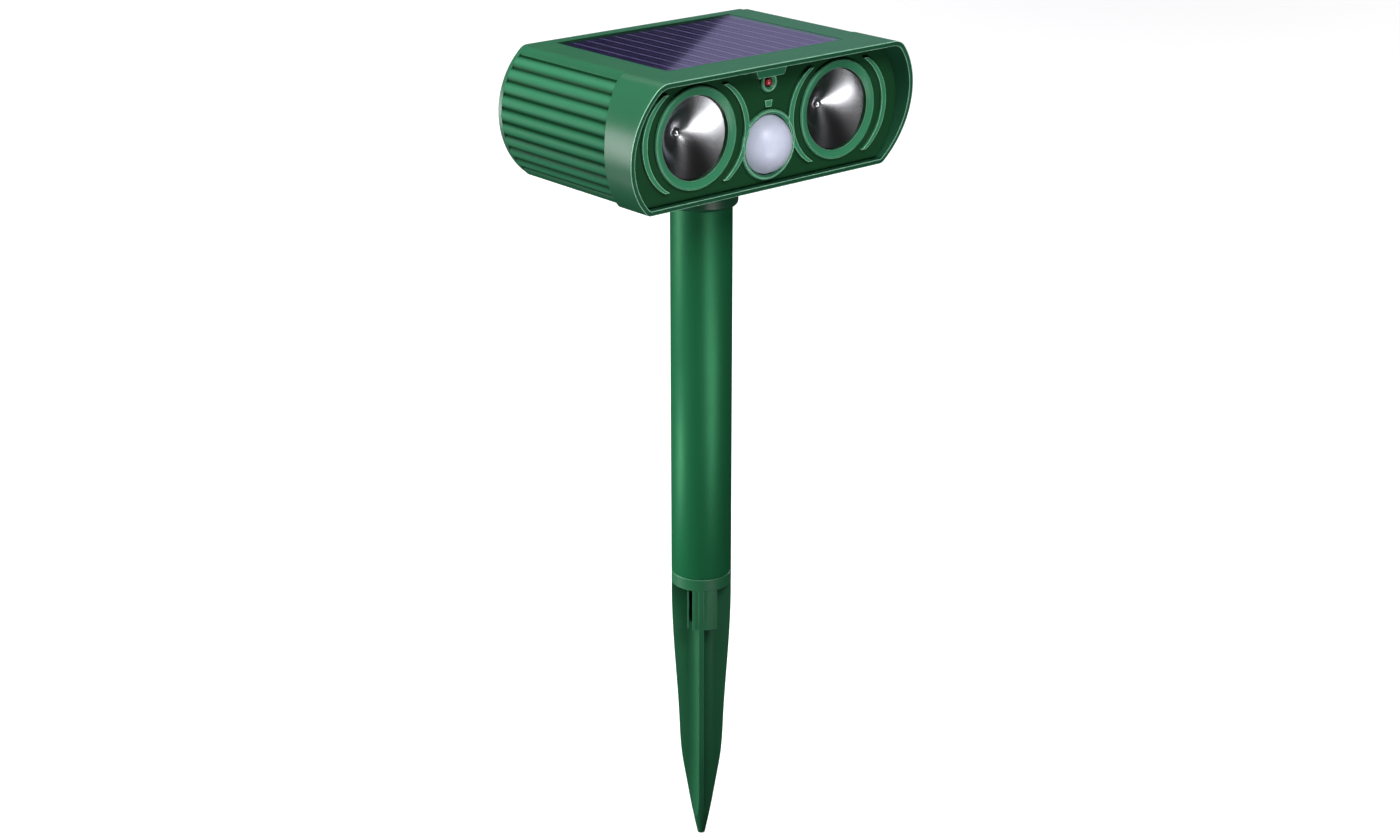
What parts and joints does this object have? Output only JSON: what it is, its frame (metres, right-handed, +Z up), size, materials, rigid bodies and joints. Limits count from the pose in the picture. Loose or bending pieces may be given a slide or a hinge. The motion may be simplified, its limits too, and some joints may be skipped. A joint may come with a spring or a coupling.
{
  "type": "ultrasonic pest repeller",
  "caption": "Green solar garden pest repeller: wide head with horn loudspeakers, motion sensor dome and top solar panel, turning on a round pole that plugs onto a finned ground stake.",
  "frame": {"origin": "where the pole's axis meets the ground line, at the lower face of the stake's collar", "axes": "+Z up along the pole, -Y the way the loudspeakers and the sensor face, +X to the right for someone looking at the front"},
  "size_m": [0.145, 0.095, 0.3568],
  "materials": {
    "body_green": "satin moulded",
    "panel_green": "satin moulded",
    "pole_green": "glossy extruded",
    "stake_green": "satin moulded",
    "cone_metal": "turned",
    "lens_white": "frosted",
    "lamp_red": "clear tinted",
    "cell_dark": "coated",
    "solar_backing": "laminated",
    "solar_sheet": "clear",
    "black_plastic": "moulded",
    "black_rubber": "moulded",
    "foam": "foam",
    "steel": "plated",
    "brass": "stamped",
    "board_green": "solder mask",
    "cell_wrap": "printed-free wrap",
    "lead_red": "insulation"
  },
  "bodies": {
    "stake": {"stake": "stake_green"},
    "pole": {"pole": "pole_green"},
    "head": {"battery_cells": "cell_wrap", "battery_contacts": "steel", "battery_holder": "black_plastic", "board_bracket_left": "steel", "board_bracket_right": "steel", "body_shell": "body_green", "capacitors": "black_plastic", "control_board_left": "board_green", "control_board_right": "board_green", "controller_chip": "black_plastic", "cover_screws": "steel", "frequency_pot": "steel", "front_panel": "panel_green", "lamp": "lamp_red", "lamp_board": "board_green", "lens_clip": "black_plastic", "main_board": "board_green", "main_board_screws": "steel", "piezo_disc_left": "brass", "piezo_disc_right": "brass", "pole_socket": "body_green", "power_leads": "lead_red", "rear_cover": "body_green", "sensitivity_pot": "steel", "sensor_board": "board_green", "sensor_board_screws": "steel", "sensor_can": "steel", "sensor_lens": "lens_white", "sensor_window": "black_plastic", "socket_screws": "steel", "solar_board": "solar_backing", "solar_cells": "cell_dark", "solar_cover": "solar_sheet", "speaker_cap_left": "black_plastic", "speaker_cap_right": "black_plastic", "speaker_cone_left": "cone_metal", "speaker_cone_right": "cone_metal", "speaker_dome_left": "cone_metal", "speaker_dome_right": "cone_metal", "speaker_frame_left": "black_plastic", "speaker_frame_right": "black_plastic", "speaker_gasket_left": "foam", "speaker_gasket_right": "foam", "speaker_leads_left": "lead_red", "speaker_leads_right": "lead_red", "switch_body": "black_plastic", "transformers": "black_plastic", "usb_socket": "steel"},
    "frequency_dial": {"frequency_knob": "black_plastic", "frequency_shaft": "brass"},
    "sensitivity_dial": {"sensitivity_knob": "black_plastic", "sensitivity_shaft": "brass"},
    "button": {"power_button": "black_rubber", "switch_plunger": "black_plastic"},
    "usb_flap": {"usb_cover": "black_rubber"},
    "door": {"battery_door": "body_green", "door_seal": "black_rubber", "door_screws": "steel"}
  },
  "joints": [
    {"name": "pole_pull_off", "type": "slide", "parent": "stake", "child": "pole", "axis": [0, 0, 1], "range_m": [0, 0.03]},
    {"name": "head_swivel", "type": "hinge", "parent": "pole", "child": "head", "pos_m": [0, 0, 0.18], "axis": [0, 0, 1], "continuous": true},
    {"name": "frequency_turn", "type": "hinge", "parent": "head", "child": "frequency_dial", "pos_m": [0.043, 0.0412, 0.21625], "axis": [0, 1, 0], "range_deg": [-135, 135]},
    {"name": "sensitivity_turn", "type": "hinge", "parent": "head", "child": "sensitivity_dial", "pos_m": [0.043, 0.0412, 0.19525], "axis": [0, 1, 0], "range_deg": [-135, 135]},
    {"name": "power_press", "type": "slide", "parent": "head", "child": "button", "axis": [0, -1, 0], "range_m": [0, 0.0015], "stiffness_N_per_m": 800, "springref_m": -0.001},
    {"name": "usb_flap_hinge", "type": "hinge", "parent": "head", "child": "usb_flap", "pos_m": [-0.043, 0.043, 0.20165], "axis": [1, 0, 0], "range_deg": [0, 100]},
    {"name": "battery_door_lift", "type": "slide", "parent": "head", "child": "door", "axis": [0, 1, 0], "range_m": [0, 0.03]}
  ]
}
